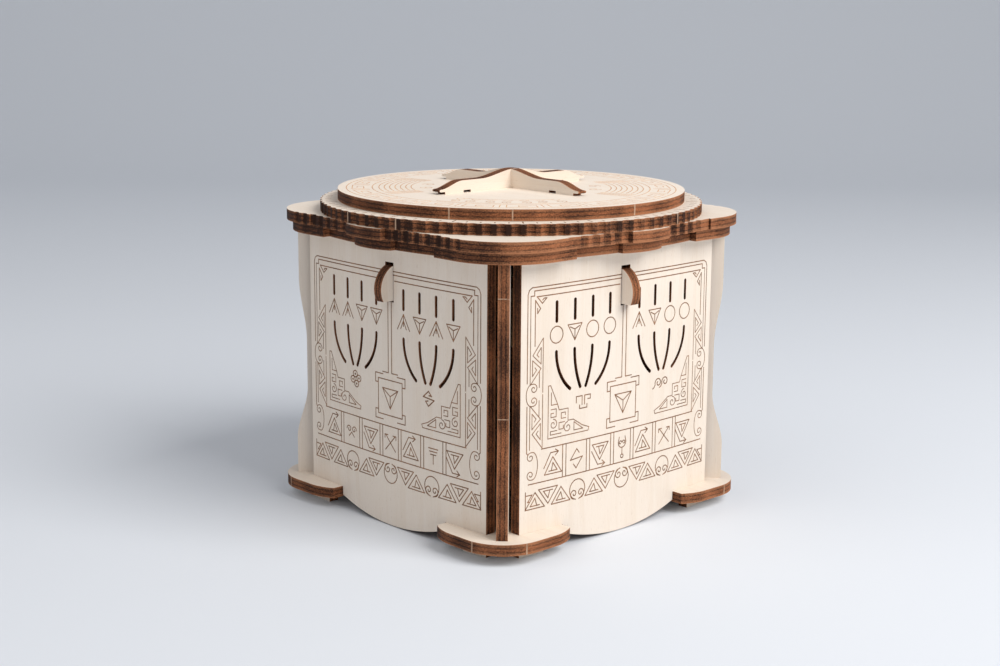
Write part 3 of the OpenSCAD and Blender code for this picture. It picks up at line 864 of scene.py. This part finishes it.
class PUZZLE_OT_dial_engraving(Operator):
    """Engrave the rings, fret and fans on the dial"""

    bl_idname = "puzzle.dial_engraving"
    bl_label = "Engrave the dial"

    def execute(self, context):
        finish, engraving, _ = settings(context)
        # The dial's lines are engraved lighter than the panels'
        ink = engraving_material("dial engraving", [c * 3.4 for c in finish.engraving])
        w = engraving.fine / MM
        d = Drawing(flat_surface(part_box("dial_disc")[1].z / MM), engraving.proud)
        for radius in (61.6, 52.0):
            d.arc((0, 0), radius, 0, 360, w, 96)
        # One link of the fret: share of the link's angle, and radius
        inner, outer = 53.4, 59.6
        fret = ((0.0, inner), (0.0, outer), (0.70, outer), (0.70, 55.2), (0.28, 55.2), (0.28, 57.6), (0.48, 57.6))
        bar = ((0.84, inner), (0.84, outer))
        step = 360 / FRET_LINKS
        for i in range(FRET_LINKS):
            for line in (fret, bar):
                d.path([polar((i + share) * step, radius) for share, radius in line], w)
        for a in (45, 225):
            for k in range(7):
                d.arc((0, 0), 37.5 + 2.0 * k, a - 21, a + 21, w, 12)
            for s in (-1, 1):
                for k in range(5):
                    d.path([polar(a + s * (23.5 + 1.9 * k), 36.5), polar(a + s * (23.5 + 1.9 * k), 50.0)], w)
                d.spiral(polar(a + 9 * s, 31.5), 2.6, 0.5, a, 430 * s, w, 18)
        for a in (135, 315):
            d.arc((0, 0), 50.0, a - 30, a + 30, w, 16)
            d.arc((0, 0), 39.6, a - 24, a + 24, w, 12)
            for k in range(-3, 4):
                d.spiral(polar(a + 8 * k, 46.0), 2.3, 0.5, a + 8 * k, 430 if k % 2 else -430, w, 16)
                d.path([polar(a + 8 * k - 2.2, 41.2), polar(a + 8 * k, 42.8), polar(a + 8 * k + 2.2, 41.2)], w)
        d.finish("dial_engraving", "dial", "dial_ply", ink)
        return {"FINISHED"}


class PUZZLE_OT_index_marks(Operator):
    """Engrave the tick marks round the index ring and small marks on the wheels"""

    bl_idname = "puzzle.index_marks"
    bl_label = "Mark the ring and wheels"

    def execute(self, context):
        finish, engraving, _ = settings(context)
        ink = engraving_material("index engraving", finish.engraving)
        w = engraving.line / MM
        count = engraving.ticks
        d = Drawing(flat_surface(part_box("index_ring")[1].z / MM), engraving.proud)
        for i in range(count):
            inner, outer = (65.6, 69.4) if i % 5 == 0 else (67.4, 69.2)
            d.path([polar(360 * i / count, outer), polar(360 * i / count, inner)], w * 1.3)
        d.finish("index_ring_ticks", "index_ring", "lid_ply", ink)
        for number in (1, 2, 3):
            node = "wheel_%d" % number
            d = Drawing(flat_surface(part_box(node)[1].z / MM), engraving.proud)
            d.arc((0, 0), 38.5, 0, 360, w, 60)
            for i in range(WHEEL_MARKS):
                angle = 360 * (i + 0.5) / WHEEL_MARKS
                c, out = Vector(polar(angle, 34.5)), Vector(polar(angle, 1.0))
                kind = (i + number) % 3
                if kind == 0:
                    d.arc(c, 1.6, 0, 360, w, 10)
                else:
                    s = 1 if kind == 1 else -1
                    side = Vector((-out.y, out.x)) * 1.7
                    foot = c - out * 1.4 * s
                    d.path([c + out * 1.8 * s, foot + side, foot - side], w, closed=True)
            d.finish(node + "_marks", node, "wheel_ply", ink)
        return {"FINISHED"}


# Bridge marks, millimetres: width of a plain one, depth into the edge, how far it stands proud,
# what it leaves free of the edge's height, and the height of one across a post's edge
NIB_WIDTH = 0.55
NIB_DEPTH = 0.4
NIB_PROUD = 0.03
NIB_MARGIN = 0.12
POST_NIB = 0.32


def edge_nib(mesh, at, out, height, width=NIB_WIDTH):
    """A pale bridge mark across a cut edge that faces outwards, a hair proud of it."""
    side = Vector((-out.y, out.x, 0))
    add_block(mesh, at + out * (NIB_PROUD - NIB_DEPTH / 2), (side * width, out * NIB_DEPTH, Vector((0, 0, height))))


def outwards(degrees):
    return Vector((*polar(degrees, 1.0), 0))


class PUZZLE_OT_nibs(Operator):
    """Leave the pale bridge marks across the burnt edges, where the parts were pushed out of their sheet"""

    bl_idname = "puzzle.nibs"
    bl_label = "Leave the bridge marks"

    def execute(self, context):
        pale = nib_material("bridge marks")
        rng = random.Random(7)

        def rim(name, body, radius, node, angles):
            mesh = bmesh.new()
            low, high = (p.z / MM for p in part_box(node))
            middle = Vector((0, 0, (low + high) / 2))
            for angle in angles:
                out = outwards(angle)
                edge_nib(mesh, middle + out * radius, out, high - low - NIB_MARGIN, 0.45 + 0.25 * rng.random())
            add_piece(mesh, name, body, pale)

        rim("dial_bridge_marks", "dial", DIAL_RADIUS, "dial_disc", (-62.5, -43, -2, 52, 118, 171, 222))
        rim("ring_bridge_marks", "index_ring", RING_RADIUS, "index_ring", (-97, -77, 12, 96, 208))
        low, high = (p.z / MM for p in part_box("base_plate"))
        mesh = bmesh.new()
        for sx, sy in ((1, 1), (1, -1), (-1, 1), (-1, -1)):
            lobe = Vector((FOOT_CENTRE * sx, FOOT_CENTRE * sy, (low + high) / 2))
            for turn in (-38, 31):
                out = outwards(math.degrees(math.atan2(sy, sx)) + turn)
                edge_nib(mesh, lobe + out * FOOT_RADIUS, out, high - low - NIB_MARGIN)
        add_piece(mesh, "foot_bridge_marks", "case", pale)
        mesh = bmesh.new()
        for angle in POSTS.values():
            out = outwards(angle)
            for z, reach in POST_MARKS:
                edge_nib(mesh, out * reach + Vector((0, 0, z)), out, POST_NIB, PLY - 0.1)
        add_piece(mesh, "post_bridge_marks", "case", pale)
        return {"FINISHED"}


# Sweep, metres: near end of the floor, where the curve starts, its radius, the wall's top, half the width
SWEEP_NEAR = -9.0
SWEEP_FAR = 1.05
SWEEP_CURVE = 0.9
SWEEP_TOP = 2.6
SWEEP_HALF = 7.0

# Camera, metres and degrees: its place, its turn about Z with the sweep's, how far it looks down, its roll
CAMERA_AT = (0.456677, -0.433427, 0.194156)
CAMERA_TURN = 46.84
CAMERA_DOWN = 11.685
CAMERA_ROLL = 0.392

# Lights, metres: place, point aimed at, side of the square, colour
KEY_LIGHT = ((0.95, 0.20, 0.92), (0, 0, 0.06), 0.85, (1.0, 0.97, 0.935))
FILL_LIGHT = ((-0.25, -1.0, 1.25), (0, 0, 0.05), 1.4, (1.0, 0.955, 0.90))

# Colours of the sweep's paper and of the light from all round, and that light's strength
PAPER = (0.745, 0.785, 0.845)
ROOM = (0.94, 0.945, 0.97)
ROOM_STRENGTH = 0.385


class PUZZLE_OT_stage(Operator):
    """Set out the pale sweep, the lights and the camera"""

    bl_idname = "puzzle.stage"
    bl_label = "Set the stage"

    def execute(self, context):
        _, _, stage = settings(context)
        scene = context.scene
        # Sweep: floor, a wide curve and a wall behind, square to the view
        mesh = bmesh.new()
        profile = [(SWEEP_NEAR, 0.0), (SWEEP_FAR, 0.0)]
        profile += [polar(a, SWEEP_CURVE, (SWEEP_FAR, SWEEP_CURVE)) for a in range(-85, 1, 5)]
        profile += [(SWEEP_FAR + SWEEP_CURVE, SWEEP_TOP)]
        spine = [mesh.verts.new((-SWEEP_HALF, y, z)) for y, z in profile]
        edges = [mesh.edges.new(pair) for pair in zip(spine, spine[1:])]
        grown = bmesh.ops.extrude_edge_only(mesh, edges=edges)["geom"]
        bmesh.ops.translate(mesh, verts=[v for v in grown if isinstance(v, bmesh.types.BMVert)],
            vec=(2 * SWEEP_HALF, 0, 0))
        bmesh.ops.rotate(mesh, verts=mesh.verts, matrix=Matrix.Rotation(math.radians(CAMERA_TURN), 3, "Z"))
        bmesh.ops.recalc_face_normals(mesh, faces=mesh.faces)
        for face in mesh.faces:
            face.smooth = True
        paper, _, shader = base_material("sweep paper")
        shader.inputs["Base Color"].default_value = rgba(PAPER)
        shader.inputs["Roughness"].default_value = 0.9
        shader.inputs["Specular IOR Level"].default_value = 0.1
        sweep = new_object(mesh, "studio_sweep", paper)

        for name, (at, target, size, colour), power in (
            ("key_light", KEY_LIGHT, stage.key_power), ("fill_light", FILL_LIGHT, stage.fill_power)):
            lamp = bpy.data.lights.new(name, "AREA")
            lamp.shape = "SQUARE"
            lamp.size = size
            lamp.energy = power
            lamp.color = colour
            holder = bpy.data.objects.new(name, lamp)
            holder.location = at
            holder.rotation_euler = (Vector(target) - Vector(at)).to_track_quat("-Z", "Y").to_euler()
            scene.collection.objects.link(holder)

        world = bpy.data.worlds.new("studio")
        world.use_nodes = True
        room = world.node_tree.nodes["Background"]
        room.inputs["Color"].default_value = rgba(ROOM)
        room.inputs["Strength"].default_value = ROOM_STRENGTH
        scene.world = world

        camera = bpy.data.cameras.new("camera")
        camera.sensor_width = 36
        camera.lens = stage.lens
        camera.clip_start, camera.clip_end = 0.01, 20
        view = bpy.data.objects.new("camera", camera)
        view.matrix_world = (Matrix.Translation(CAMERA_AT) @ Matrix.Rotation(math.radians(CAMERA_TURN), 4, "Z")
            @ Matrix.Rotation(math.radians(90 - CAMERA_DOWN), 4, "X")
            @ Matrix.Rotation(math.radians(CAMERA_ROLL), 4, "Z"))
        scene.collection.objects.link(view)
        scene.camera = view
        scene.view_settings.view_transform = "Standard"
        scene.view_settings.look = "None"
        return {"FINISHED"}


OPERATORS = (
    PUZZLE_OT_plywood,
    PUZZLE_OT_panel_engraving,
    PUZZLE_OT_dial_engraving,
    PUZZLE_OT_index_marks,
    PUZZLE_OT_nibs,
    PUZZLE_OT_stage,
)


class PUZZLE_PT_box(Panel):
    """Lists the making of the puzzle box"""

    bl_idname = "PUZZLE_PT_box"
    bl_label = "Puzzle Box"
    bl_space_type = "VIEW_3D"
    bl_region_type = "UI"
    bl_category = "Puzzle Box"

    def draw(self, context):
        for operator in OPERATORS:
            self.layout.operator(operator.bl_idname)
        for group in settings(context):
            box = self.layout.box()
            for key in group.__annotations__:
                box.prop(group, key)


CLASSES = (BoxFinish, BoxEngraving, BoxStage, *OPERATORS, PUZZLE_PT_box)


def register():
    for item in CLASSES:
        bpy.utils.register_class(item)
    bpy.types.Scene.puzzle_finish = PointerProperty(type=BoxFinish)
    bpy.types.Scene.puzzle_engraving = PointerProperty(type=BoxEngraving)
    bpy.types.Scene.puzzle_stage = PointerProperty(type=BoxStage)


def unregister():
    del bpy.types.Scene.puzzle_stage
    del bpy.types.Scene.puzzle_engraving
    del bpy.types.Scene.puzzle_finish
    for item in reversed(CLASSES):
        bpy.utils.unregister_class(item)


def main():
    register()
    bpy.ops.puzzle.plywood()
    bpy.ops.puzzle.panel_engraving()
    bpy.ops.puzzle.dial_engraving()
    bpy.ops.puzzle.index_marks()
    bpy.ops.puzzle.nibs()
    bpy.ops.puzzle.stage()


if __name__ == "__main__":
    main()
